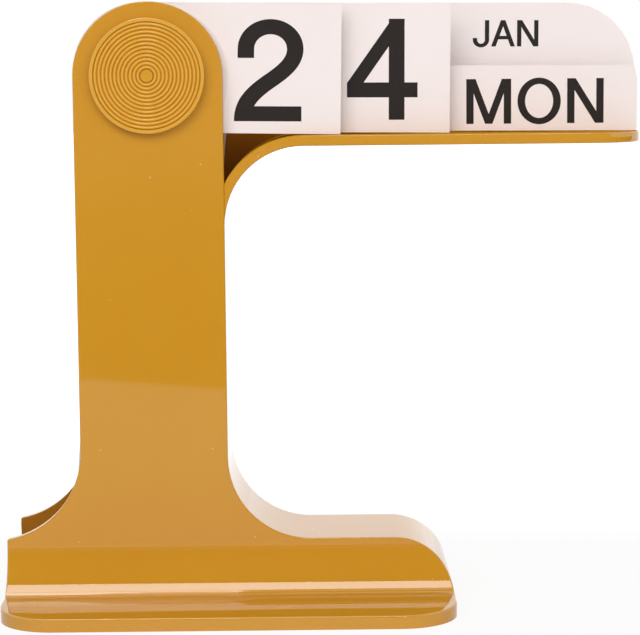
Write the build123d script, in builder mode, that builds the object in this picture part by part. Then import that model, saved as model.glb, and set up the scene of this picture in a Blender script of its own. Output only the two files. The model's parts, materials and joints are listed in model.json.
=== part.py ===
from build123d import *
import os
from math import acos, asin, atan2, cos, degrees, hypot, radians, sin, sqrt

# Perpetual desk calendar: a moulded stand that carries four decks of flip cards.
# The frame has its origin under the middle of the footprint, on the ground. +X runs along
# the arm, +Y to the rear and +Z up. Lengths are millimetres and angles are degrees.

# Cards: thin sheets on one shaft, tens at the front, then units, weekdays and months
tens_faces = ["1", "2", "3"]
units_faces = ["0", "1", "2", "3", "4", "5", "6", "7", "8", "9"]
weekday_faces = ["mon", "tue", "wed", "thu", "fri", "sat", "sun"]
month_faces = ["jan", "feb", "mar", "apr", "may", "jun", "jul", "aug", "sep", "oct", "nov", "dec"]
card_thickness = 0.6
card_gap = 0.2              # air between neighbouring cards
card_above = 20.35          # card's top edge above the centre of its hole
card_below = 13.6           # card's bottom edge below the centre of its hole
tens_length = 50.5          # hole to far end
units_length = 79.4
long_length = 129.6         # weekday and month cards
heel_radius = 18.4          # round end behind the hole
heel_reach = 19.8           # hole to the back of the heel
long_corner = 18.6          # far top corner of a month card
weekday_top = 3.7           # top of the weekday strip above its hole
weekday_fall = 3.7          # how much lower the weekday card's far corner starts to round
neck_start = 21.0           # where a weekday card narrows to its strip
neck_radius = 9.0

# Pivot
pivot_height = 140.4
shaft_radius = 4.0
card_play = 1.2             # the cards' holes are this much larger, in radius, than the shaft
seat_gap = 0.05             # fitted clearance
disc_radius = 15.0
disc_thickness = 2.8
disc_edge = 0.5             # chamfers of the disc and of the rear cap
ridge_count = 12
ridge_pitch = 1.015
ridge_height = 0.45
ridge_start = 1.75          # flat spot in the middle of the rings
rear_cap_radius = 9.0
rear_cap_thickness = 2.4
socket_depth = 1.6          # how far the shaft enters the disc and the cap

# Stand
column_radius = 19.6        # half the column's width, and its round top
column_wall = 1.2           # right wall beside the hanging cards
wall = 2.6                  # front and rear plates and the skin of the base
base_left = 39.6            # pivot axis to the base's left end
base_right = 79.4
base_height = 17.45
base_end_foot = 1.65        # upright stretch below the curve of the base's right end
left_flare = 24.0
right_flare = 22.0
foot_reach = 29.5           # how far each foot stands out of its plate
foot_curve = 13.0           # hollow curve from plate to foot
foot_top = 3.8              # foot's thickness where the curve ends
foot_lip = 3.4              # foot's thickness at its free edge
foot_corner = 15.0
shelf_drop = 1.1            # shelf's top under the bottom edge of a level card
shelf_thickness = 2.8
shelf_tail = 0.8            # shelf beyond the far end of the long cards
shelf_setback = 0.6         # shelf's faces behind the plates' faces
arm_curve = 20.7            # underside of the arm's bend
lean_clearance = 0.25       # hanging cards clear the column's wall by this
tens_lean = 6.0             # the short cards hang a little further over
rest_clearance = 0.1        # shown cards clear the shelf by this

# Worked out from the sizes above
face_count = len(tens_faces) + len(units_faces) + len(weekday_faces) + len(month_faces)
card_pitch = card_thickness + card_gap
slot = face_count * card_pitch + card_gap
half_slot = slot / 2
half_body = half_slot + wall
half_depth = half_body + foot_reach
half_shelf = half_body - shelf_setback
arm_reach = long_length + shelf_tail
pivot_x = (base_left - arm_reach) / 2
total_height = pivot_height + column_radius
hole_radius = shaft_radius + card_play
hinge_height = pivot_height - card_play + seat_gap
shelf_top = hinge_height - card_below - shelf_drop
shelf_bottom = shelf_top - shelf_thickness
column_inner = column_radius - column_wall
bend = (column_radius + arm_curve, shelf_bottom - arm_curve)
bend_inner = arm_curve + shelf_thickness
bend_start = degrees(acos((column_inner - bend[0]) / bend_inner))
bend_rise = bend_inner * sin(radians(bend_start))
foot_turn = foot_top + foot_curve
base_end_radius = base_height - base_end_foot
margin = 5.0                # cutting shapes run this far past the stand

front = Plane(origin=(pivot_x, 0, 0), x_dir=(1, 0, 0), z_dir=(0, -1, 0))
left_end = Plane(origin=(pivot_x - base_left, 0, 0), x_dir=(0, 1, 0), z_dir=(1, 0, 0))
ground = Plane(origin=(pivot_x, 0, 0))

os.makedirs("parts", exist_ok=True)


def save(piece, name):
    piece.label = name
    export_step(piece, f"parts/{name}.step")


# The hollow between the plates: open to the left, above and below
with BuildPart() as hollow:
    with BuildSketch(front):
        with BuildLine():
            end_centre = (base_right - base_end_radius, base_height - base_end_radius)
            flare_inner = right_flare + column_wall
            flare_centre = (column_inner + flare_inner, base_height - wall + flare_inner)
            far_left = -base_left - margin
            far_right = arm_reach + margin
            Polyline((base_right - wall, end_centre[1]), (base_right - wall, -margin), (far_left, -margin),
                     (far_left, total_height + margin), (far_right, total_height + margin),
                     (far_right, shelf_top), (bend[0], shelf_top))
            CenterArc(bend, bend_inner, 90, bend_start - 90)
            Line((column_inner, bend[1] + bend_rise), (column_inner, flare_centre[1]))
            CenterArc(flare_centre, flare_inner, 180, 90)
            Line((flare_centre[0], base_height - wall), (end_centre[0], base_height - wall))
            CenterArc(end_centre, base_end_radius - wall, 90, -90)
        make_face()
    extrude(amount=half_depth, both=True)
    with BuildSketch(Plane(origin=(pivot_x + far_left, 0, 0), x_dir=(0, 1, 0), z_dir=(1, 0, 0))):
        with BuildLine():
            foot_edge = half_slot + foot_turn
            Polyline((-foot_edge, 0), (-foot_edge, -margin), (foot_edge, -margin), (foot_edge, 0))
            CenterArc((foot_edge, foot_turn), foot_turn, 270, -90)
            Polyline((half_slot, foot_turn), (half_slot, total_height + margin),
                     (-half_slot, total_height + margin), (-half_slot, foot_turn))
            CenterArc((-foot_edge, foot_turn), foot_turn, 0, -90)
        make_face()
    extrude(amount=far_right - far_left, mode=Mode.INTERSECT)

# The arm: a tongue-shaped shelf that bends down into the column's right wall,
# with a web that closes the bend at the rear
with BuildPart() as arm:
    with BuildSketch(front):
        with BuildLine():
            Line((column_inner, bend[1] + bend_rise), (column_inner, bend[1]))
            Line((column_inner, bend[1]), (column_radius, bend[1]))
            CenterArc(bend, arm_curve, 180, -90)
            Polyline((bend[0], shelf_bottom), (arm_reach, shelf_bottom), (arm_reach, shelf_top),
                     (bend[0], shelf_top))
            CenterArc(bend, bend_inner, 90, bend_start - 90)
        make_face()
    extrude(amount=half_shelf, both=True)
    with BuildSketch(front.offset(-half_slot)):
        with BuildLine():
            Polyline((bend[0], shelf_top), (column_inner, shelf_top), (column_inner, bend[1] + bend_rise))
            CenterArc(bend, bend_inner, bend_start, 90 - bend_start)
        make_face()
    extrude(amount=half_slot - half_shelf)
    with BuildSketch(ground):
        with Locations(((arm_reach - half_shelf) / 2, 0)):
            Rectangle(arm_reach - half_shelf, 2 * half_shelf)
        with Locations((arm_reach - half_shelf, 0)):
            Circle(half_shelf)
    extrude(amount=total_height, mode=Mode.INTERSECT)

# The stand: column, base and feet, cut from the meeting of three outlines
with BuildPart() as stand:
    with BuildSketch(front) as outline:
        with BuildLine():
            flare_middle = (-column_radius - left_flare, base_height + left_flare)
            flare_start = degrees(acos((-base_left - flare_middle[0]) / left_flare))
            flare_foot = flare_middle[1] - left_flare * sin(radians(flare_start))
            CenterArc((0, pivot_height), column_radius, 0, 180)
            Line((-column_radius, pivot_height), (-column_radius, flare_middle[1]))
            CenterArc(flare_middle, left_flare, 0, -flare_start)
            Polyline((-base_left, flare_foot), (-base_left, 0), (base_right, 0),
                     (base_right, base_height - base_end_radius))
            CenterArc(end_centre, base_end_radius, 0, 90)
            Line((end_centre[0], base_height), (column_radius + right_flare, base_height))
            CenterArc((column_radius + right_flare, base_height + right_flare), right_flare, 270, -90)
            Line((column_radius, base_height + right_flare), (column_radius, pivot_height))
        make_face()
    extrude(amount=half_depth, both=True)
    with BuildSketch(left_end):
        with BuildLine():
            Polyline((-half_body, foot_turn), (-half_body, total_height), (half_body, total_height),
                     (half_body, foot_turn))
            CenterArc((half_body + foot_curve, foot_turn), foot_curve, 180, 90)
            Polyline((half_body + foot_curve, foot_top), (half_depth, foot_lip), (half_depth, 0),
                     (-half_depth, 0), (-half_depth, foot_lip), (-half_body - foot_curve, foot_top))
            CenterArc((-half_body - foot_curve, foot_turn), foot_curve, 270, 90)
        make_face()
    extrude(amount=base_left + base_right, mode=Mode.INTERSECT)
    with BuildSketch(ground):
        with Locations(((base_right - base_left) / 2, 0)):
            RectangleRounded(base_left + base_right, 2 * half_depth, foot_corner)
    extrude(amount=total_height, mode=Mode.INTERSECT)
    add(arm.part)
    add(hollow.part, mode=Mode.SUBTRACT)
    with BuildSketch(front.offset(-half_body)):
        with Locations((0, pivot_height)):
            Circle(shaft_radius + seat_gap)
    extrude(amount=2 * half_body, mode=Mode.SUBTRACT)
save(stand.part, "stand")

# Pivot: a shaft through both plates, a ringed disc at the front and a plain cap behind
pivot = Plane(origin=(pivot_x, 0, pivot_height), x_dir=(1, 0, 0), z_dir=(0, -1, 0))
with BuildPart() as pivot_shaft:
    with BuildSketch(pivot):
        Circle(shaft_radius)
    extrude(amount=half_body + socket_depth, both=True)
save(pivot_shaft.part, "pivot_shaft")

disc_profile = Plane(origin=(pivot_x, 0, pivot_height), x_dir=(1, 0, 0), z_dir=(0, 0, 1))
with BuildPart() as ringed_disc:
    with BuildSketch(disc_profile):
        with BuildLine():
            back = -half_body
            valley = back - disc_thickness + ridge_height
            rings_end = ridge_start + ridge_count * ridge_pitch
            socket_wall = shaft_radius + seat_gap
            Polyline((rings_end, valley), (rings_end, back - disc_thickness),
                     (disc_radius - disc_edge, back - disc_thickness), (disc_radius, back - disc_thickness + disc_edge),
                     (disc_radius, back), (socket_wall, back), (socket_wall, back - socket_depth),
                     (0, back - socket_depth), (0, back - disc_thickness), (ridge_start, back - disc_thickness),
                     (ridge_start, valley))
            for ring in range(ridge_count):
                inner_edge = ridge_start + ring * ridge_pitch
                Polyline((inner_edge, valley), (inner_edge + ridge_pitch / 2, valley - ridge_height),
                         (inner_edge + ridge_pitch, valley))
        make_face()
    revolve(axis=Axis((pivot_x, 0, pivot_height), (0, 1, 0)))
save(ringed_disc.part, "ringed_disc")

with BuildPart() as rear_cap:
    with BuildSketch(pivot.offset(-half_body)):
        Circle(rear_cap_radius)
    extrude(amount=-rear_cap_thickness)
    chamfer(rear_cap.edges().group_by(Axis.Y)[-1], disc_edge)
    with BuildSketch(pivot.offset(-half_body)):
        Circle(shaft_radius + seat_gap)
    extrude(amount=-socket_depth, mode=Mode.SUBTRACT)
save(rear_cap.part, "rear_cap")


def shown_angle(length):
    """Turn, below level, at which a card's far bottom corner reaches the shelf."""
    fall = hinge_height - shelf_top - rest_clearance
    return -degrees(asin(fall / hypot(length, card_below)) - atan2(card_below, length))


def hanging_angle():
    """Turn at which a card hangs just clear of the top of the column's right wall."""
    depth = hinge_height - bend[1] - bend_rise
    lean = asin((card_above + lean_clearance) / hypot(column_inner, depth)) - atan2(column_inner, depth)
    return -90 - degrees(lean)


# Each deck: its cards' name, faces, the one shown, their length and how the others hang
decks = [
    ("tens_card", tens_faces, "2", tens_length, -90 - tens_lean),
    ("units_card", units_faces, "4", units_length, hanging_angle()),
    ("weekday_card", weekday_faces, "mon", long_length, hanging_angle()),
    ("month_card", month_faces, "jan", long_length, hanging_angle()),
]
heel = (heel_radius - heel_reach, card_above - heel_radius)
heel_end = degrees(asin((card_below + heel[1]) / heel_radius))
heel_foot = heel[0] - heel_radius * cos(radians(heel_end))
strip_corner = (long_length - long_corner, card_above - long_corner - weekday_fall)
strip_rise = weekday_top - strip_corner[1]
strip_end = strip_corner[0] + sqrt(long_corner ** 2 - strip_rise ** 2)
neck = (neck_start + neck_radius, weekday_top + neck_radius)
face_y = -half_slot + card_gap
for deck, faces, shown, length, hanging in decks:
    corner = long_corner if length == long_length else 0
    for face in faces:
        turn = radians(shown_angle(length) if face == shown else hanging)
        card_face = Plane(origin=(pivot_x, face_y, hinge_height), x_dir=(cos(turn), 0, sin(turn)), z_dir=(0, -1, 0))
        with BuildPart() as card:
            with BuildSketch(card_face):
                with BuildLine():
                    CenterArc(heel, heel_radius, 90, 90 + heel_end)
                    Polyline((heel_foot, -card_below), (length, -card_below), (length, card_above - corner))
                    if corner:
                        CenterArc((length - corner, card_above - corner), corner, 0, 90)
                    Line((length - corner, card_above), (heel[0], card_above))
                make_face()
                if deck == "weekday_card":
                    # Past its neck the card is only a strip, so the month card shows above it
                    with BuildLine():
                        Polyline((neck_start, neck[1]), (neck_start, card_above + margin),
                                 (length + margin, card_above + margin), (length + margin, strip_corner[1]),
                                 (length, strip_corner[1]))
                        CenterArc(strip_corner, long_corner, 0, degrees(asin(strip_rise / long_corner)))
                        Line((strip_end, weekday_top), (neck[0], weekday_top))
                        CenterArc(neck, neck_radius, 270, -90)
                    make_face(mode=Mode.SUBTRACT)
                Circle(hole_radius, mode=Mode.SUBTRACT)
            extrude(amount=-card_thickness)
        save(card.part, f"{deck}_{face}")
        face_y += card_pitch
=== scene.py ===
import json
import bmesh
import bpy
import numpy as np
from math import atan2, cos, pi, radians, sin
from mathutils import Matrix, Vector


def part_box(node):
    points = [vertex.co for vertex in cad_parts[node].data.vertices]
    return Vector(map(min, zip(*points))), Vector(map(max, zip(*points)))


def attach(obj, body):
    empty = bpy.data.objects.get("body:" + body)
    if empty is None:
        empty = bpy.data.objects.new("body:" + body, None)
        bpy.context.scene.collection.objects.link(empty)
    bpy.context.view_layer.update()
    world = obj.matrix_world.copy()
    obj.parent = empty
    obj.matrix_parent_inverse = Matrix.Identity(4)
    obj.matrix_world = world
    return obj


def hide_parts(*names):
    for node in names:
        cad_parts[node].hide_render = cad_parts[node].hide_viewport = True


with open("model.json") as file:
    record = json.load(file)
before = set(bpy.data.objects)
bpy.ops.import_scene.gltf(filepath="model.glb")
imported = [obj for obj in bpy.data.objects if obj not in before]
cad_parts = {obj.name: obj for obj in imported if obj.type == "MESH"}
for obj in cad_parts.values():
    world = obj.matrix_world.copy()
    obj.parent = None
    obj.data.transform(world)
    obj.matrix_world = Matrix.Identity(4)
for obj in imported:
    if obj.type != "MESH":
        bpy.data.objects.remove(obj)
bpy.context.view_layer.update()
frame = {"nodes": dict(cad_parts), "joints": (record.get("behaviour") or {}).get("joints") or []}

mm = 0.001
print("frame loaded:", len(frame["nodes"]), "nodes")


# small helpers for meshes and pieces
def meshPoints(mesh):
    points = np.empty(len(mesh.vertices) * 3)
    mesh.vertices.foreach_get("co", points)
    return points.reshape(-1, 3)


def closeSeams(mesh, distance, smooth):
    # points nearer than the distance are merged and the faces turned outwards
    work = bmesh.new()
    work.from_mesh(mesh)
    bmesh.ops.remove_doubles(work, verts=work.verts, dist=distance)
    bmesh.ops.recalc_face_normals(work, faces=work.faces)
    for face in work.faces:
        face.smooth = smooth
    work.to_mesh(mesh)
    work.free()


def newPiece(name, mesh, *materials):
    for material in materials:
        mesh.materials.append(material)
    piece = bpy.data.objects.new(name, mesh)
    bpy.context.scene.collection.objects.link(piece)
    return piece


def dressNode(part, material):
    part.data.materials.clear()
    part.data.materials.append(material)


# and for node materials
def newMaterial(name):
    material = bpy.data.materials.new(name)
    material.use_nodes = True
    tree = material.node_tree
    return material, tree, tree.nodes["Principled BSDF"]


def addNode(tree, kind, inputs=None, **settings):
    node = tree.nodes.new(kind)
    for key, value in settings.items():
        setattr(node, key, value)
    for key, value in (inputs or {}).items():
        node.inputs[key].default_value = value
    return node


def feed(tree, value, socket):
    # a number or colour is set on the socket, an output is linked to it
    if isinstance(value, (int, float, tuple)):
        socket.default_value = value
    else:
        tree.links.new(value, socket)


def mathNode(tree, operation, *values):
    node = addNode(tree, "ShaderNodeMath", operation=operation)
    for index, value in enumerate(values):
        feed(tree, value, node.inputs[index])
    return node.outputs["Value"]


def rampNode(tree, value, span, result, shape="SMOOTHSTEP"):
    # a change from the first result to the second while value crosses span
    node = addNode(tree, "ShaderNodeMapRange", interpolation_type=shape)
    tree.links.new(value, node.inputs["Value"])
    for key, number in zip(("From Min", "From Max", "To Min", "To Max"), (*span, *result)):
        node.inputs[key].default_value = number
    return node.outputs["Result"]


def mixNode(tree, share, first, second):
    node = addNode(tree, "ShaderNodeMix", data_type="RGBA")
    tree.links.new(share, node.inputs["Factor"])
    feed(tree, first, node.inputs["A"])
    feed(tree, second, node.inputs["B"])
    return node.outputs["Result"]


def noiseNode(tree, place, scale, detail, **more):
    node = addNode(tree, "ShaderNodeTexNoise", {"Scale": scale, "Detail": detail, **more})
    tree.links.new(place, node.inputs["Vector"])
    return node.outputs["Fac"]


def bumpNode(tree, height, distance, under=None):
    node = addNode(tree, "ShaderNodeBump", {"Distance": distance, "Strength": 1.0})
    tree.links.new(height, node.inputs["Height"])
    if under is not None:
        tree.links.new(under, node.inputs["Normal"])
    return node.outputs["Normal"]


def srgb(red, green, blue):
    # display values 0-255 to scene-linear, by the sRGB curve
    def one(value):
        share = value / 255
        return share / 12.92 if share <= 0.04045 else ((share + 0.055) / 1.055) ** 2.4
    return (one(red), one(green), one(blue), 1.0)


# materials
ochre = {
    "base": srgb(208, 149, 41),
    "deep": srgb(204, 144, 36),
    # the disc is the body's plastic, painted a little paler as a painted highlight over its ridged face
    "discLitBase": srgb(212, 155, 43),
    "discLitDeep": srgb(208, 150, 39),
    # painted highlight: paler ochre laid on the ridges' tops
    "discCrestHighlight": srgb(230, 173, 66),
    "discWaves": 0.2,           # the disc's share of the waves' height
    # painted shade: the core side's faces, between the plates and on the web, get a darker copy of the
    # body's ochre
    "insideShadeBase": srgb(168, 110, 34),
    "insideShadeDeep": srgb(160, 103, 30),
    "ior": 1.55,
    "roughness": 0.03,
    "shine": 0.5,
    "insideRoughness": 0.5,     # the core side of the moulding isn't polished
    "insideShine": 0.0,
    "mottleScale": 38.0,        # slow drift of colour, per metre
    "mottleDetail": 3.0,
    "handledScale": 24.0,       # roughness wanders at this scale, as handled gloss does
    "handledDetail": 4.0,
    "handledGrit": 0.6,
    "handledSpan": (0.75, 1.35),    # between these shares of the roughness
    "waveScale": 17.0,          # shallow sink marks that bend the reflections
    "waveDetail": 1.0,
    "waveHeight": 0.00003,
    "peelScale": 420.0,         # fine orange peel over them
    "peelDetail": 2.0,
    "peelHeight": 0.000001,
    "dust": srgb(226, 190, 130),
    "dustScale": 155.0,
    "dustShare": 0.03,          # radius of a dust speck, in cells
}


def ochrePlastic(name, base, deep, waves=1.0, matt=False, crestHighlight=None):
    material, tree, shader = newMaterial(name)
    place = tree.nodes.new("ShaderNodeTexCoord").outputs["Object"]
    drift = noiseNode(tree, place, ochre["mottleScale"], ochre["mottleDetail"])
    colour = mixNode(tree, drift, base, deep)
    # a few pale specks of dust: small spots at some of the cell centres
    cells = addNode(tree, "ShaderNodeTexVoronoi", {"Scale": ochre["dustScale"], "Randomness": 1.0})
    tree.links.new(place, cells.inputs["Vector"])
    speck = mathNode(tree, "LESS_THAN", cells.outputs["Distance"], ochre["dustShare"])
    colour = mixNode(tree, speck, colour, ochre["dust"])
    if crestHighlight:
        # painted highlight: paler on the ridges' tops, by a point attribute
        tops = addNode(tree, "ShaderNodeAttribute", attribute_name="crestHighlight")
        colour = mixNode(tree, tops.outputs["Fac"], colour, crestHighlight)
    tree.links.new(colour, shader.inputs["Base Color"])
    handled = noiseNode(tree, place, ochre["handledScale"], ochre["handledDetail"],
                        Roughness=ochre["handledGrit"])
    roughness = ochre["insideRoughness"] if matt else ochre["roughness"]
    span = [roughness * share for share in ochre["handledSpan"]]
    tree.links.new(rampNode(tree, handled, (0.0, 1.0), span, "LINEAR"), shader.inputs["Roughness"])
    shader.inputs["IOR"].default_value = ochre["ior"]
    shader.inputs["Specular IOR Level"].default_value = ochre["insideShine"] if matt else ochre["shine"]
    wave = noiseNode(tree, place, ochre["waveScale"], ochre["waveDetail"])
    peel = noiseNode(tree, place, ochre["peelScale"], ochre["peelDetail"])
    waved = bumpNode(tree, wave, ochre["waveHeight"] * waves)
    tree.links.new(bumpNode(tree, peel, ochre["peelHeight"], waved), shader.inputs["Normal"])
    return material


sheetStock = {
    "base": srgb(244, 234, 232),
    "warm": srgb(240, 228, 225),
    "tintScale": 30.0,
    "tintDetail": 2.0,
    "roughness": 0.42,
    "ior": 1.5,
    "grainScale": 900.0,
    "grainDetail": 3.0,
    "grainHeight": 0.000006,
}


def cardSheet():
    material, tree, shader = newMaterial("cardSheet")
    place = tree.nodes.new("ShaderNodeTexCoord").outputs["Object"]
    tint = noiseNode(tree, place, sheetStock["tintScale"], sheetStock["tintDetail"])
    tree.links.new(mixNode(tree, tint, sheetStock["base"], sheetStock["warm"]), shader.inputs["Base Color"])
    grain = noiseNode(tree, place, sheetStock["grainScale"], sheetStock["grainDetail"])
    tree.links.new(bumpNode(tree, grain, sheetStock["grainHeight"]), shader.inputs["Normal"])
    shader.inputs["Roughness"].default_value = sheetStock["roughness"]
    shader.inputs["IOR"].default_value = sheetStock["ior"]
    return material


ink = {
    "base": srgb(40, 35, 34),
    "thin": srgb(49, 43, 41),   # where it covers less
    "coverScale": 1400.0,
    "coverDetail": 2.0,
    "roughness": 0.5,
    "shine": 0.22,
}


def printedInk():
    material, tree, shader = newMaterial("printedInk")
    place = tree.nodes.new("ShaderNodeTexCoord").outputs["Object"]
    cover = noiseNode(tree, place, ink["coverScale"], ink["coverDetail"])
    tree.links.new(mixNode(tree, cover, ink["base"], ink["thin"]), shader.inputs["Base Color"])
    shader.inputs["Roughness"].default_value = ink["roughness"]
    shader.inputs["Specular IOR Level"].default_value = ink["shine"]
    return material


bodyPlastic = ochrePlastic("ochrePlastic", ochre["base"], ochre["deep"])
shelfPlastic = ochrePlastic("ochreShelf", ochre["base"], ochre["deep"], matt=True)
# the core side's material: matt, in the darker ochre of the painted shade
insideShadePlastic = ochrePlastic("ochreInsideShade", ochre["insideShadeBase"], ochre["insideShadeDeep"], matt=True)
# the disc's plastic: a paler copy of the body's ochre, with a painted highlight on the ridges' tops
discPlastic = ochrePlastic("ochreDisc", ochre["discLitBase"], ochre["discLitDeep"],
                           waves=ochre["discWaves"], crestHighlight=ochre["discCrestHighlight"])
sheetMaterial = cardSheet()
inkMaterial = printedInk()
print("materials made")


# stand: the moulding with its edges eased and its curves shaded smooth
standFinish = {
    "weld": 0.002 * mm,
    "flat": radians(0.3),       # facets of one plane are joined under this angle
    "sharp": radians(28.0),     # edges over this angle are eased
    "ease": 0.45 * mm,
    "easeSegments": 3,
    "outerRoom": 0.4,           # an edge is eased by up to this share of its distance to another outer edge,
    "otherRoom": 0.8,           # and this share of its distance to the other edges of its faces
    "leastEase": 0.1,           # edges eased by less than this share of the full width stay sharp
    "ground": 0.2 * mm,         # and so do edges this low
    "plate": 15.5 * mm,         # the hollow curve of a foot starts here from the middle
    "hollowTop": 16.8 * mm,     # and this high
    "hollowRadius": 13.0 * mm,  # its radius in the solid
    "hollowWide": 15.8 * mm,    # its radius as finished, down to the turn
    "hollowTurn": radians(52),
    "hollowToe": 2.6 * mm,      # radius of the last bit, into the flat of the foot
    "slack": 0.001 * mm,
    "onCurve": 0.02 * mm,       # points this near the solid's curve are taken to be on it
    "pivot": 140.4 * mm,
    "crown": 0.985,             # heights above the pivot are finished as this share of the solid's
    "creased": radians(50.0),   # edges still over this angle once eased stay sharp
    "inside": 13.6 * mm,        # the core side's faces lie between the plates, this near the middle,
    "facesAlong": 0.9,          # and face along y by at least this
    "armLeft": -26.0 * mm,      # the arm's upper side lies right of this,
    "armLow": 100.0 * mm,       # above this,
    "facesUp": 0.2,             # and faces up by at least this
    "areaWeight": 100,          # shading follows the largest of the faces that meet
}


def fitCurves(mesh, settings):
    # points of a foot's hollow curve keep their height and move in y: with h the depth below the curve's
    # top, y = plate + R (1 - cos a), sin a = h / R, as far as the turn, then the same on the toe radius;
    # heights above the pivot are multiplied by the crown's share
    points = meshPoints(mesh)
    depth = settings["hollowTop"] - points[:, 2]
    old, wide = settings["hollowRadius"], settings["hollowWide"]
    toe, turn = settings["hollowToe"], settings["hollowTurn"]
    inside = (depth > -settings["slack"]) & (depth < old + settings["slack"])
    h = np.clip(depth, 0, old)
    was = old * (1 - np.cos(np.arcsin(np.clip(h / old, 0, 1))))
    onCurve = inside & (np.abs(np.abs(points[:, 1]) - settings["plate"] - was) < settings["onCurve"])
    deepTurn = wide * sin(turn)
    upper = wide * (1 - np.cos(np.arcsin(np.clip(h / wide, 0, 1))))
    toeSine = np.clip(sin(turn) + (h - deepTurn) / toe, -1, 1)
    lower = wide * (1 - cos(turn)) + toe * (cos(turn) - np.cos(np.arcsin(toeSine)))
    now = np.where(h < deepTurn, upper, lower)
    points[:, 1] = np.where(onCurve, np.sign(points[:, 1]) * (settings["plate"] + now), points[:, 1])
    above = np.maximum(0, points[:, 2] - settings["pivot"])
    points[:, 2] -= above * (1 - settings["crown"])
    mesh.vertices.foreach_set("co", points.ravel())
    return int(onCurve.sum())


def nearest(edge, other):
    # the least distance from an end of one edge to the other edge
    least = 1.0
    for one, two in ((edge, other), (other, edge)):
        start, along = two.verts[0].co, two.verts[1].co - two.verts[0].co
        for end in one.verts:
            t = min(1.0, max(0.0, (end.co - start).dot(along) / along.length_squared))
            least = min(least, (end.co - start - along * t).length)
    return least


def finishOf(face, settings):
    # 0 polished, 1 the arm's upper side, 2 the core side: the plates' inner faces and the web, whose colour
    # is darker as painted shade
    centre, normal = face.calc_center_median(), face.normal
    if centre.x > settings["armLeft"] and centre.z > settings["armLow"] and normal.z > settings["facesUp"]:
        return 1
    return 2 if abs(normal.y) > settings["facesAlong"] and abs(centre.y) < settings["inside"] else 0


def easeShares(work, settings):
    # gives each outer edge its share of the full ease, by the room that its faces leave; the
    # corners that look inwards, the lowest edges and those with almost no room stay sharp
    share = work.edges.layers.float.new("bevel_weight_edge")
    corners = {edge for edge in work.edges
               if len(edge.link_faces) == 2 and edge.calc_face_angle() > settings["sharp"]}
    outer = {edge for edge in corners if edge.is_convex}
    for edge in corners - outer:
        edge.smooth = False
    for edge in outer:
        ends = set(edge.verts)
        others = {other for face in edge.link_faces for other in face.edges if not ends & set(other.verts)}
        room = min([1.0] + [nearest(edge, other) * settings["outerRoom" if other in outer else "otherRoom"]
                            for other in others])
        low = max(end.co.z for end in ends) < settings["ground"]
        edge[share] = 0.0 if low else min(1.0, room / settings["ease"])
        edge.smooth = edge[share] > settings["leastEase"]


def finishMoulding(nodeName, pieceName, settings, materials):
    # a welded copy of the solid: planar facets joined, outer edges eased by Bevel, and normals
    # weighted by area
    mesh = frame["nodes"][nodeName].data.copy()
    mesh.name = pieceName
    mesh.materials.clear()
    piece = newPiece(pieceName, mesh, *materials)
    print("hollow curves:", fitCurves(mesh, settings), "points")
    work = bmesh.new()
    work.from_mesh(mesh)
    bmesh.ops.remove_doubles(work, verts=work.verts, dist=settings["weld"])
    bmesh.ops.dissolve_limit(work, angle_limit=settings["flat"], verts=work.verts, edges=work.edges)
    for face in work.faces:
        face.smooth = True
        face.material_index = finishOf(face, settings)
    easeShares(work, settings)
    work.to_mesh(mesh)
    work.free()
    bevel = piece.modifiers.new("easedEdges", "BEVEL")
    bevel.width = settings["ease"]
    bevel.segments = settings["easeSegments"]
    bevel.limit_method = "WEIGHT"
    bevel.use_clamp_overlap = False
    bevel.miter_outer = "MITER_ARC"
    # the bevel is applied, and the edges that it left creased are marked for the shading
    eased = bpy.data.meshes.new_from_object(piece.evaluated_get(bpy.context.evaluated_depsgraph_get()))
    piece.modifiers.clear()
    piece.data = eased
    eased.name = pieceName
    work = bmesh.new()
    work.from_mesh(eased)
    for edge in work.edges:
        edge.smooth = not (len(edge.link_faces) == 2 and edge.calc_face_angle() > settings["creased"])
    work.to_mesh(eased)
    work.free()
    weighted = piece.modifiers.new("weightedNormals", "WEIGHTED_NORMAL")
    weighted.keep_sharp = True
    weighted.weight = settings["areaWeight"]
    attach(piece, "frame")
    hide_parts(nodeName)
    return piece


stand = finishMoulding("stand", "standMoulding", standFinish, (bodyPlastic, shelfPlastic, insideShadePlastic))
print("stand:", len(stand.data.vertices), "points")


# ringed disc: a turned profile of rounded ridges
disc = {
    "ridges": 12,
    "pitch": 1.015 * mm,
    "start": 1.75 * mm,         # flat spot in the middle
    "startSlope": 0.15 * mm,    # between it and the first groove
    "ridgeHeight": 0.6 * mm,
    "crestHighlightPower": 1.5,          # how quickly the ridges' sides lose the painted highlight of their tops
    "rimHighlight": 0.65,           # the rim's share of it
    "crestHighlightStart": 1.70 * mm,    # the flat spot has none up to here
    "groove": (0.12 * mm, 0.24 * mm),   # a last shallow groove's middle and end, past the ridges
    "grooveDepth": 0.08 * mm,
    "edge": 0.35 * mm,          # radius of the rim's edge
    "edgeSteps": 7,
    "stepsPerRidge": 10,
    "turns": 192,
    "socketRadius": 4.05 * mm,
    "socketDepth": 1.6 * mm,
    "merge": 0.0001 * mm,
    "sharp": radians(40.0),
}


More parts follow.
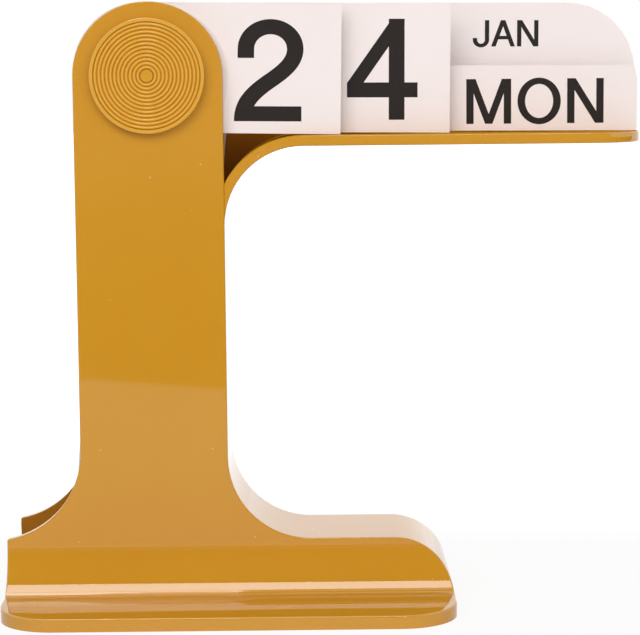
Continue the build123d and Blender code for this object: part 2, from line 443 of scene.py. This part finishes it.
def turnProfile(name, centre, radiusRow, depthRow, turns):
    # point (i, j) = centre + radius[j] * (cos a, 0, sin a) + depth[j] along +Y, with a = 2 pi i / turns
    angle = np.linspace(0.0, 2 * pi, turns, endpoint=False)[:, None]
    x = centre.x + np.cos(angle) * radiusRow[None, :]
    z = centre.z + np.sin(angle) * radiusRow[None, :]
    y = np.broadcast_to(depthRow[None, :], x.shape)
    points = np.stack([x, y, z], axis=-1).reshape(-1, 3)
    columns = len(radiusRow)
    i, j = np.meshgrid(np.arange(turns), np.arange(columns - 1), indexing="ij")
    here, ahead = i * columns + j, (i + 1) % turns * columns + j
    faces = np.stack([here, here + 1, ahead + 1, ahead], axis=-1)
    mesh = bpy.data.meshes.new(name)
    mesh.from_pydata(points.tolist(), [], faces.reshape(-1, 4).tolist())
    closeSeams(mesh, disc["merge"], smooth=True)
    return mesh


def markCrestHighlights(mesh, centre, front, ringsEnd):
    # painted highlight on the ridges' tops: share = (height above the grooves, 0 to 1) ^ power; less on the
    # rim, none on the flat spot
    points = meshPoints(mesh)
    distance = np.hypot(points[:, 0] - centre.x, points[:, 2] - centre.z)
    share = np.where(distance > ringsEnd, disc["rimHighlight"], 1.0) * (distance > disc["crestHighlightStart"])
    height = np.clip(1 - (points[:, 1] - front) / disc["ridgeHeight"], 0, 1)
    crestHighlight = mesh.attributes.new("crestHighlight", "FLOAT", "POINT")
    crestHighlight.data.foreach_set("value", share * height ** disc["crestHighlightPower"])


def makeDisc():
    # from the middle outwards: flat spot, ridges, a shallow groove, the rim's rounded edge, then the
    # plain back with the shaft's socket; ridge height = ridgeHeight * |sin(pi * (r - start) / pitch)|
    low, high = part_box("ringed_disc")
    centre = (low + high) / 2
    radius = (high.x - low.x) / 2
    front, back = low.y, high.y
    r = np.linspace(0, disc["ridges"] * disc["pitch"], disc["ridges"] * disc["stepsPerRidge"] + 1)
    ringsRadius = disc["start"] + r
    ringsDepth = front + disc["ridgeHeight"] * (1 - np.abs(np.sin(pi * r / disc["pitch"])))
    ringsEnd = ringsRadius[-1]
    corner = np.linspace(0, pi / 2, disc["edgeSteps"])
    edgeRadius = radius - disc["edge"] + disc["edge"] * np.sin(corner)
    edgeDepth = front + disc["edge"] - disc["edge"] * np.cos(corner)
    radiusRow = np.concatenate([[0, disc["start"] - disc["startSlope"]], ringsRadius,
                                [ringsEnd + reach for reach in disc["groove"]], edgeRadius,
                                [radius, disc["socketRadius"], disc["socketRadius"], 0]])
    depthRow = np.concatenate([[front, front], ringsDepth, [front + disc["grooveDepth"], front], edgeDepth,
                               [back, back, back - disc["socketDepth"], back - disc["socketDepth"]]])
    mesh = turnProfile("ringedDiscMesh", centre, radiusRow, depthRow, disc["turns"])
    markCrestHighlights(mesh, centre, front, ringsEnd)
    mesh.set_sharp_from_angle(angle=disc["sharp"])
    piece = newPiece("ringedDisc", mesh, discPlastic)
    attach(piece, "frame")
    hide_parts("ringed_disc")


makeDisc()
for node in ("pivot_shaft", "rear_cap"):
    dressNode(frame["nodes"][node], bodyPlastic)
print("disc, shaft and cap dressed")


# cards: the solids keep their shape and get the sheet's finish
cardNodes = {name: part for name, part in frame["nodes"].items() if "_card_" in name}
for part in cardNodes.values():
    dressNode(part, sheetMaterial)

card = {
    "above": 20.35 * mm,        # the top edge over the hinge
    "below": 13.6 * mm,         # and the bottom edge under it
    "lengths": {"tens": 50.5 * mm, "units": 79.4 * mm, "weekday": 129.6 * mm, "month": 129.6 * mm},
}
hingeByNode = {joint["child"]: Vector(joint["pos_m"]) for joint in frame["joints"]}


def cardTurn(name):
    # the card's farthest point from its hinge is a known corner: its bearing gives the card's turn
    deck = name.split("_")[0]
    length = card["lengths"][deck]
    side = card["above"] if deck in ("tens", "units") else -card["below"]
    points = meshPoints(cardNodes[name].data)
    hinge = hingeByNode[name]
    dx, dz = points[:, 0] - hinge.x, points[:, 2] - hinge.z
    far = int(np.argmax(np.hypot(dx, dz)))
    return atan2(dz[far], dx[far]) - atan2(side, length)


# lettering: strokes of even weight, in units of the capital height; figures and capitals are
# given as strokes, whose numbers are places in that unit
letterForm = {
    "stem": 0.165,              # upright strokes
    "bar": 0.138,               # level strokes
    "figureStem": 0.163,
    "figureBar": 0.148,
    "arcSteps": 20,             # points to a quarter turn
    "square": 0.93,             # a stroke's end this near upright or level is cut square to the axes
    "film": 0.02 * mm,          # thickness of the ink
    "overlap": 0.003 * mm,      # each further stroke of a letter lies this much higher
    "samePoint": 0.000001,      # points of a path this near are one
    "merge": 0.0005 * mm,
}


def bezier(points, steps):
    # cubic Bezier through its four control points
    t = np.linspace(0, 1, steps + 1)[:, None]
    a, b, c, d = [np.array(p, float)[None, :] for p in points]
    return (1 - t) ** 3 * a + 3 * (1 - t) ** 2 * t * b + 3 * (1 - t) * t ** 2 * c + t ** 3 * d


def arc(cx, cy, rx, ry, start, end):
    # point = centre + (rx cos a, ry sin a), with a from start to end in degrees
    steps = max(3, int(abs(end - start) / 90 * letterForm["arcSteps"]))
    t = np.radians(np.linspace(start, end, steps + 1))
    return np.stack([cx + rx * np.cos(t), cy + ry * np.sin(t)], axis=-1)


def joinPaths(*parts):
    # one path through the parts in turn; a point that repeats the last one is left out
    rows = [np.array(parts[0], float)]
    for part in parts[1:]:
        part = np.array(part, float)
        if np.hypot(*(part[0] - rows[-1][-1])) < letterForm["samePoint"]:
            part = part[1:]
        rows.append(part)
    return np.concatenate(rows)


def ribbon(path, stem, bar):
    # both edges of a stroke: the path offset along its normal by half a width that
    # goes from the stem's, where the path runs upright, to the bar's, where it runs level
    path = np.array(path, float)
    tangent = np.gradient(path, axis=0)
    tangent[0] = path[1] - path[0]
    tangent[-1] = path[-1] - path[-2]
    tangent /= np.hypot(tangent[:, 0], tangent[:, 1])[:, None]
    for end in (0, -1):
        strong = int(np.argmax(np.abs(tangent[end])))
        if abs(tangent[end][strong]) > letterForm["square"]:
            way = np.sign(tangent[end][strong])
            tangent[end] = [0, 0]
            tangent[end][strong] = way
    normal = np.stack([-tangent[:, 1], tangent[:, 0]], axis=-1)
    half = np.hypot(normal[:, 0] * stem, normal[:, 1] * bar)[:, None] / 2
    return [path + normal * half, path - normal * half]


def bar(x0, y0, x1, y1):
    # an upright or level stroke, between two opposite corners
    return [np.array([[x0, y1], [x1, y1]], float), np.array([[x0, y0], [x1, y0]], float)]


def slant(x0, y0, x1, y1, width):
    # a leaning stroke cut level at both ends; x is its left edge, width is measured level
    return [np.array([[x0, y0], [x1, y1]], float), np.array([[x0 + width, y0], [x1 + width, y1]], float)]


def ring(cx, cy, rx, ry, stem, level):
    # a closed oval stroke: outer and inner ellipse, stem wide at the sides and level wide at top and foot
    t = np.radians(np.linspace(0, 360, 4 * letterForm["arcSteps"] + 1))
    outer = np.stack([cx + rx * np.cos(t), cy + ry * np.sin(t)], axis=-1)
    inner = np.stack([cx + (rx - stem) * np.cos(t), cy + (ry - level) * np.sin(t)], axis=-1)
    return [outer, inner]


def bowl(reach, middle, rx, ry, top, foot):
    # out from the stem at the top, round to the right and back at the foot
    stem = 0.1
    return joinPaths([(stem, top), (reach, top)], arc(reach, middle, rx, ry, 90, -90), [(stem, foot)])


def figureShapes(key):
    # strokes of one figure, as pairs of edges, and its width
    s, b = letterForm["figureStem"], letterForm["figureBar"]
    if key == "0":
        return [ring(0.335, 0.5, 0.335, 0.515, s, b)], 0.67
    if key == "1":
        return [bar(0.24, 0, 0.24 + s, 1), bar(0.0, 0.70, 0.26, 0.70 + 0.115),
                slant(0.155, 0.76, 0.24, 1.0, s * 0.98)], 0.40
    if key == "2":
        path = joinPaths([(0.119, 0.622)], arc(0.3635, 0.710, 0.2435, 0.293 - b / 2, 180, 0),
                         bezier([(0.607, 0.710), (0.607, 0.585), (0.500, 0.496), (0.360, 0.400)], 14),
                         bezier([(0.360, 0.400), (0.170, 0.270), (0.083, 0.170), (0.083, 0.0)], 14))
        return [ribbon(path, s, b), bar(0.05, 0, 0.670, b)], 0.69
    if key == "3":
        upper = joinPaths([(0.10, 0.665)], arc(0.345, 0.705, 0.225, 0.222, 185, -70))
        lower = joinPaths(arc(0.335, 0.290, 0.255, 0.225, 85, -180), [(0.080, 0.32)])
        return [ribbon(upper, s, b), ribbon(lower, s, b), bar(0.235, 0.452, 0.40, 0.452 + b * 0.95)], 0.67
    if key == "4":
        return [bar(0.417, 0, 0.574, 1), bar(0, 0.223, 0.704, 0.371),
                slant(0.004, 0.371, 0.448, 1.0, 0.126), slant(0.06, 0.371, 0.36, 0.80, 0.107)], 0.70
    if key == "5":
        return [bar(0.14, 1 - b, 0.60, 1), slant(0.055, 0.42, 0.13, 1.0, s * 0.90),
                ribbon(arc(0.325, 0.325, 0.255, 0.255, 130, -172), s, b)], 0.67
    if key == "6":
        spine = joinPaths(arc(0.345, 0.745, 0.225, 0.183, 8, 90),
                          bezier([(0.345, 0.928), (0.13, 0.928), (0.083, 0.70), (0.083, 0.40)], 16))
        return [ring(0.345, 0.325, 0.340, 0.340, s, b), ribbon(spine, s, b)], 0.69
    if key == "7":
        sweep = bezier([(0.585, 0.885), (0.40, 0.66), (0.285, 0.36), (0.255, 0.0)], 18)
        return [bar(0.0, 1 - b, 0.655, 1), ribbon(sweep, s, b)], 0.66
    if key == "8":
        return [ring(0.335, 0.745, 0.285, 0.270, s * 0.95, b * 0.92),
                ring(0.335, 0.278, 0.330, 0.293, s, b * 0.95)], 0.67
    # 9
    spine = joinPaths(arc(0.335, 0.255, 0.225, 0.183, 188, 270),
                      bezier([(0.335, 0.072), (0.55, 0.072), (0.597, 0.30), (0.597, 0.60)], 16))
    return [ring(0.335, 0.675, 0.340, 0.340, s, b), ribbon(spine, s, b)], 0.68


def letterShapes(key):
    # strokes of one capital, as pairs of edges, and its width
    s, b = letterForm["stem"], letterForm["bar"]
    half, level = s / 2, b / 2
    if key == "A":
        return [slant(0, 0, 0.372, 1, 0.172), slant(0.742, 0, 0.370, 1, 0.172),
                bar(0.2, 0.272, 0.7, 0.272 + b * 0.95)], 0.914
    if key == "B":
        upper = bowl(0.38, 0.745, 0.205, 0.255 - level, 1 - level, 0.49 + level)
        lower = bowl(0.40, 0.2785, 0.235, 0.2115, 0.49, level)
        return [bar(0, 0, s, 1), ribbon(upper, s, b), ribbon(lower, s, b)], 0.72
    if key == "C":
        return [ribbon(arc(0.455, 0.5, 0.377, 0.520 - level, 32, 328), s, b)], 0.88
    if key == "D":
        return [bar(0, 0, s, 1), ribbon(bowl(0.36, 0.5, 0.36, 0.5 - level, 1 - level, level), s, b)], 0.80
    if key == "E":
        return [bar(0, 0, s, 1), bar(0.1, 0, 0.69, b), bar(0.1, 1 - b, 0.68, 1),
                bar(0.1, 0.45, 0.64, 0.45 + b)], 0.69
    if key == "F":
        return [bar(0, 0, s, 1), bar(0.1, 1 - b, 0.64, 1), bar(0.1, 0.43, 0.58, 0.43 + b)], 0.64
    if key == "G":
        return [ribbon(arc(0.46, 0.5, 0.380, 0.520 - level, 32, 318), s, b),
                bar(0.47, 0.40, 0.86, 0.40 + b), bar(0.86 - s * 0.85, 0.02, 0.86, 0.47)], 0.88
    if key == "H":
        return [bar(0, 0, s, 1), bar(0.76 - s, 0, 0.76, 1), bar(0.1, 0.44, 0.66, 0.44 + b)], 0.76
    if key == "I":
        return [bar(0, 0, s, 1)], s
    if key == "J":
        hook = joinPaths([(0.07, 0.324)], arc(0.30, 0.260, 0.23, 0.293 - level, 180, 360), [(0.53, 1.0)])
        return [ribbon(hook, s, b)], 0.61
    if key == "L":
        return [bar(0, 0, s, 1), bar(0.1, 0, 0.62, b)], 0.62
    if key == "M":
        return [bar(0, 0, s, 1), bar(1.006 - s, 0, 1.006, 1), slant(0.421, 0, 0.045, 1, 0.164),
                slant(0.421, 0, 0.797, 1, 0.164)], 1.006
    if key == "N":
        return [bar(0, 0, s, 1), bar(0.818 - s, 0, 0.818, 1), slant(0.628, 0, 0.0, 1, 0.190)], 0.818
    if key == "O":
        return [ring(0.486, 0.5, 0.486, 0.52, 0.172, 0.140)], 0.972
    if key == "P":
        head = bowl(0.39, 0.70, 0.222, 0.30 - level, 1 - level, 0.40 + level)
        return [bar(0, 0, s, 1), ribbon(head, s, b)], 0.70
    if key == "R":
        head = bowl(0.41, 0.715, 0.222, 0.285 - level, 1 - level, 0.43 + level)
        leg = joinPaths(bezier([(0.40, 0.49), (0.60, 0.49), (0.63, 0.40), (0.635, 0.27)], 10), [(0.66, 0.0)])
        return [bar(0, 0, s, 1), ribbon(head, s, b), ribbon(leg, s, b)], 0.75
    if key == "S":
        path = joinPaths(arc(0.385, 0.735, 0.262, 0.285 - level, 5, 150),
                         bezier([(0.158, 0.840), (0.06, 0.60), (0.22, 0.575), (0.385, 0.525)], 12),
                         bezier([(0.385, 0.525), (0.60, 0.465), (0.735, 0.40), (0.640, 0.170)], 12),
                         arc(0.39, 0.270, 0.300, 0.290 - level, -28, -180))
        return [ribbon(path, s, b)], 0.78
    if key == "T":
        return [bar(0, 1 - b, 0.76, 1), bar(0.38 - half, 0, 0.38 + half, 1)], 0.76
    if key == "U":
        cup = joinPaths([(half, 1.0)], arc(0.385, 0.30, 0.385 - half, 0.32 - level, 180, 360),
                        [(0.77 - half, 1.0)])
        return [ribbon(cup, s, b)], 0.77
    if key == "V":
        return [slant(0.345, 0, 0, 1, 0.168), slant(0.345, 0, 0.69, 1, 0.168)], 0.858
    if key == "W":
        return [slant(0.235, 0, 0, 1, 0.162), slant(0.235, 0, 0.47, 1, 0.162),
                slant(0.705, 0, 0.47, 1, 0.162), slant(0.705, 0, 0.94, 1, 0.162)], 1.10
    # Y
    return [bar(0.38 - half, 0, 0.38 + half, 0.46), slant(0.295, 0.38, 0, 1, 0.175),
            slant(0.295, 0.38, 0.59, 1, 0.175)], 0.76


printing = {
    # capital height, left edge from the hinge, base line above the hinge, letter gap in heights,
    # and how many degrees the print is turned on its card
    "tens": {"height": 26.53 * mm, "left": 22.45 * mm, "base": -10.44 * mm,
             "gap": 0.1, "askew": 0.3, "figures": True},
    "units": {"height": 26.52 * mm, "left": 52.2 * mm, "base": -10.32 * mm,
              "gap": 0.1, "askew": 0.3, "figures": True},
    "weekday": {"height": 11.9 * mm, "left": 84.1 * mm, "base": -11.85 * mm,
                "gap": 0.142, "askew": 0.4, "figures": False},
    "month": {"height": 7.01 * mm, "left": 86.2 * mm, "base": 8.71 * mm,
              "gap": 0.078, "askew": 0.0, "figures": False},
}


def strokeSolid(upper, lower, front, back):
    # a stroke as a thin closed bar: its two edges on the front layer and on the back layer, with
    # faces between neighbouring edges; a stroke whose edges close on themselves has no ends
    n = len(upper)
    closed = np.allclose(upper[0], upper[-1])
    rows = [(upper, front), (lower, front), (lower, back), (upper, back)]
    points = np.concatenate([np.column_stack([edge[:, 0], np.full(n, layer), edge[:, 1]])
                             for edge, layer in rows])
    i = np.arange(n - 1)
    faces = [np.stack([a * n + i, a * n + i + 1, b * n + i + 1, b * n + i], axis=-1)
             for a, b in ((0, 1), (1, 2), (2, 3), (3, 0))]
    if not closed:
        faces.append(np.array([[0, n, 2 * n, 3 * n], [4 * n - 1, 3 * n - 1, 2 * n - 1, n - 1]]))
    return points, np.concatenate(faces)


def turned(points, angle):
    # (x cos a - z sin a, x sin a + z cos a)
    x, z = points[:, 0], points[:, 1]
    return np.stack([x * cos(angle) - z * sin(angle), x * sin(angle) + z * cos(angle)], axis=-1)


def printCard(name):
    # the strokes stand on the card's front, turned with the card about its hinge
    deck, _, face = name.split("_", 2)
    plan = printing[deck]
    turn = cardTurn(name)
    skew = radians(plan["askew"])
    hinge = hingeByNode[name]
    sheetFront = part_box(name)[0].y
    points, faces = [], []
    pen, count = 0.0, 0
    for key in face.upper():
        shapes, width = figureShapes(key) if plan["figures"] else letterShapes(key)
        for level, edges in enumerate(shapes):
            onCard = [turned(plan["height"] * (edge + [pen, 0]), skew) + [plan["left"], plan["base"]]
                      for edge in edges]
            placed = [turned(edge, turn) + [hinge.x, hinge.z] for edge in onCard]
            front = sheetFront - letterForm["film"] - level * letterForm["overlap"]
            strokePoints, strokeFaces = strokeSolid(placed[0], placed[1], front, sheetFront)
            points.append(strokePoints)
            faces.append(count + strokeFaces)
            count += len(strokePoints)
        pen += width + plan["gap"]
    mesh = bpy.data.meshes.new(name + "_print")
    mesh.from_pydata(np.concatenate(points).tolist(), [], np.concatenate(faces).tolist())
    closeSeams(mesh, letterForm["merge"], smooth=False)
    piece = newPiece(name + "_print", mesh, inkMaterial)
    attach(piece, name)


for name in cardNodes:
    printCard(name)
print("cards printed:", len(cardNodes))


# studio: pale floor, soft light, camera
studio = {
    "floorReach": 4.0,
    "floorWhite": (0.80, 1.0),  # the floor's colour in the light that it throws back, and to the camera
    "floorFade": (0.08, 0.28),  # near and far radius, between which its seen colour turns plain white,
    "floorShare": (0.90, 1.0),  # from this share to all of it
    "tableEdge": (-0.383, 0.55),    # the white table ends in front at y = edge + slope * x
    "tableSoft": 0.002,
    "tableSpan": (-0.1, 0.3),   # what gloss sees of the table changes between these y
    "tableShine": (0.85, 1.3),  # from this, at the front, to this
    "wallShine": 1.4,           # what it sees of the white walls
    "roomDark": 0.03,           # and of the room in front
    "roomFar": 0.30,            # which is paler far off, near the horizon:
    "roomSpan": (-3.5, -0.6),   # on the floor between these y,
    "horizonSpan": (0.0, 0.12),     # and up to this height of the direction
    "roomWide": 0.75,           # the room turns white to the sides and overhead, where y + wide * |x| of
    "roomTurn": (-0.06, -0.01), # the direction passes these
    "ambient": (0.28, 0.42),    # soft light from the front and from everywhere else,
    "ambientSpan": (-0.6, 0.3),     # by the direction's y
}


def rayKind(tree):
    # two 0-or-1 signals: seen by the camera, and seen in gloss or through something clear
    path = tree.nodes.new("ShaderNodeLightPath")
    gloss = mathNode(tree, "MAXIMUM", path.outputs["Is Glossy Ray"], path.outputs["Is Transmission Ray"])
    return path.outputs["Is Camera Ray"], gloss


def makeFloor():
    # matt white; the camera sees it turn plain white away from the object, and gloss sees the
    # white table end at a slanting edge, with the dark room beyond
    reach = studio["floorReach"]
    corners = [(-reach, -reach, 0), (reach, -reach, 0), (reach, reach, 0), (-reach, reach, 0)]
    mesh = bpy.data.meshes.new("floor")
    mesh.from_pydata(corners, [], [(0, 1, 2, 3)])
    material = bpy.data.materials.new("paleFloor")
    material.use_nodes = True
    tree = material.node_tree
    tree.nodes.clear()
    link = tree.links.new
    out = tree.nodes.new("ShaderNodeOutputMaterial")
    place = tree.nodes.new("ShaderNodeTexCoord")
    split = tree.nodes.new("ShaderNodeSeparateXYZ")
    link(place.outputs["Object"], split.inputs["Vector"])
    radius = addNode(tree, "ShaderNodeVectorMath", operation="LENGTH")
    link(place.outputs["Object"], radius.inputs[0])
    edge, slope = studio["tableEdge"]
    soft = studio["tableSoft"]
    beyond = mathNode(tree, "SUBTRACT", split.outputs["Y"],
                      mathNode(tree, "MULTIPLY", split.outputs["X"], slope))
    depth = rampNode(tree, split.outputs["Y"], studio["tableSpan"], studio["tableShine"])
    table = mathNode(tree, "MULTIPLY", depth, rampNode(tree, beyond, (edge - soft, edge + soft), (0.0, 1.0)))
    far = rampNode(tree, split.outputs["Y"], studio["roomSpan"], (studio["roomFar"], studio["roomDark"]))
    mirrored = mathNode(tree, "MAXIMUM", table, far)
    seen, gloss = rayKind(tree)
    plain = rampNode(tree, radius.outputs["Value"], studio["floorFade"], studio["floorShare"])
    share = mathNode(tree, "MULTIPLY", seen, plain)
    diffuse = tree.nodes.new("ShaderNodeBsdfDiffuse")
    link(rampNode(tree, seen, (0.0, 1.0), studio["floorWhite"]), diffuse.inputs["Color"])
    glow = addNode(tree, "ShaderNodeEmission", {"Color": (1, 1, 1, 1)})
    link(mathNode(tree, "MAXIMUM", seen, mirrored), glow.inputs["Strength"])
    mix = tree.nodes.new("ShaderNodeMixShader")
    link(mathNode(tree, "MAXIMUM", share, gloss), mix.inputs["Fac"])
    link(diffuse.outputs["BSDF"], mix.inputs[1])
    link(glow.outputs["Emission"], mix.inputs[2])
    link(mix.outputs["Shader"], out.inputs["Surface"])
    floor = newPiece("floor", mesh, material)


def makeWorld():
    # white for the camera; for gloss and for soft light it is darker on the side that faces the front
    world = bpy.data.worlds.new("studioWhite")
    bpy.context.scene.world = world
    world.use_nodes = True
    tree = world.node_tree
    tree.nodes.clear()
    link = tree.links.new
    out = tree.nodes.new("ShaderNodeOutputWorld")
    background = tree.nodes.new("ShaderNodeBackground")
    background.inputs["Color"].default_value = (1, 1, 1, 1)
    place = tree.nodes.new("ShaderNodeTexCoord")
    split = tree.nodes.new("ShaderNodeSeparateXYZ")
    link(place.outputs["Generated"], split.inputs["Vector"])
    seen, gloss = rayKind(tree)
    sideways = mathNode(tree, "MULTIPLY", mathNode(tree, "ABSOLUTE", split.outputs["X"]), studio["roomWide"])
    bearing = mathNode(tree, "ADD", split.outputs["Y"], sideways)
    walls = rampNode(tree, bearing, studio["roomTurn"], (studio["roomDark"], studio["wallShine"]))
    steep = mathNode(tree, "ABSOLUTE", split.outputs["Z"])
    far = rampNode(tree, steep, studio["horizonSpan"], (studio["roomFar"], 0.0))
    room = mathNode(tree, "MAXIMUM", walls, far)
    soft = rampNode(tree, split.outputs["Y"], studio["ambientSpan"], studio["ambient"])
    glossPart = mathNode(tree, "MULTIPLY", gloss, room)
    softPart = mathNode(tree, "MULTIPLY", mathNode(tree, "SUBTRACT", 1.0, gloss), soft)
    strength = mathNode(tree, "MAXIMUM", seen, mathNode(tree, "ADD", glossPart, softPart))
    link(strength, background.inputs["Strength"])
    link(background.outputs["Background"], out.inputs["Surface"])


lamps = {
    # each lights either the matt surfaces or the gloss
    "key": {"place": (-0.55, -1.5, 1.15), "aim": (0, 0, 0.08), "size": (1.5, 1.3), "power": 19.6,
            "seenBy": "matt"},
    "fill": {"place": (0.8, -1.4, 0.6), "aim": (0, 0, 0.08), "size": (1.3, 1.3), "power": 8.4,
             "seenBy": "matt"},
    "rear": {"place": (0.3, 1.7, 0.35), "aim": (0, 0, 0.08), "size": (1.6, 0.9), "power": 8.0,
             "seenBy": "matt"},
    "top": {"place": (-0.05, -0.33, 1.3), "aim": (-0.05, -0.33, 0), "size": (0.6, 0.39), "power": 5.0,
            "seenBy": "gloss"},
    "side": {"place": (-0.33, 0.09, 1.3), "aim": (-0.33, 0.09, 0), "size": (0.53, 0.40), "power": 4.2,
             "seenBy": "gloss"},
}


def makeLamp(name, plan):
    data = bpy.data.lights.new(name, "AREA")
    data.shape = "RECTANGLE"
    data.size, data.size_y = plan["size"]
    data.energy = plan["power"]
    lamp = bpy.data.objects.new(name, data)
    bpy.context.scene.collection.objects.link(lamp)
    lamp.location = plan["place"]
    lamp.visible_glossy = plan["seenBy"] == "gloss"
    lamp.visible_diffuse = plan["seenBy"] == "matt"
    lamp.rotation_euler = (Vector(plan["aim"]) - Vector(plan["place"])).to_track_quat("-Z", "Y").to_euler()


camera = {
    "place": Vector((-2.81, -599.68, 144.06)) * mm,
    "yaw": 0.0031,              # radians to the right
    "pitch": 0.1149,            # radians down
    "roll": -0.0096,            # radians, about the line of sight
    "lens": 125.44,             # focal length and film width, in the camera's own millimetres
    "sensor": 36.0,
    "clip": (0.01, 50),         # nearest and farthest seen
}


def makeCamera():
    data = bpy.data.cameras.new("camera")
    data.lens = camera["lens"]
    data.sensor_fit = "HORIZONTAL"
    data.sensor_width = camera["sensor"]
    data.clip_start, data.clip_end = camera["clip"]
    eye = bpy.data.objects.new("camera", data)
    bpy.context.scene.collection.objects.link(eye)
    turn = (Matrix.Rotation(-camera["yaw"], 4, "Z") @ Matrix.Rotation(pi / 2 - camera["pitch"], 4, "X")
            @ Matrix.Rotation(camera["roll"], 4, "Z"))
    eye.matrix_world = Matrix.Translation(camera["place"]) @ turn
    bpy.context.scene.camera = eye


makeFloor()
makeWorld()
for lampName, plan in lamps.items():
    makeLamp(lampName, plan)
makeCamera()
bpy.context.scene.view_settings.view_transform = "Standard"
print("studio ready")
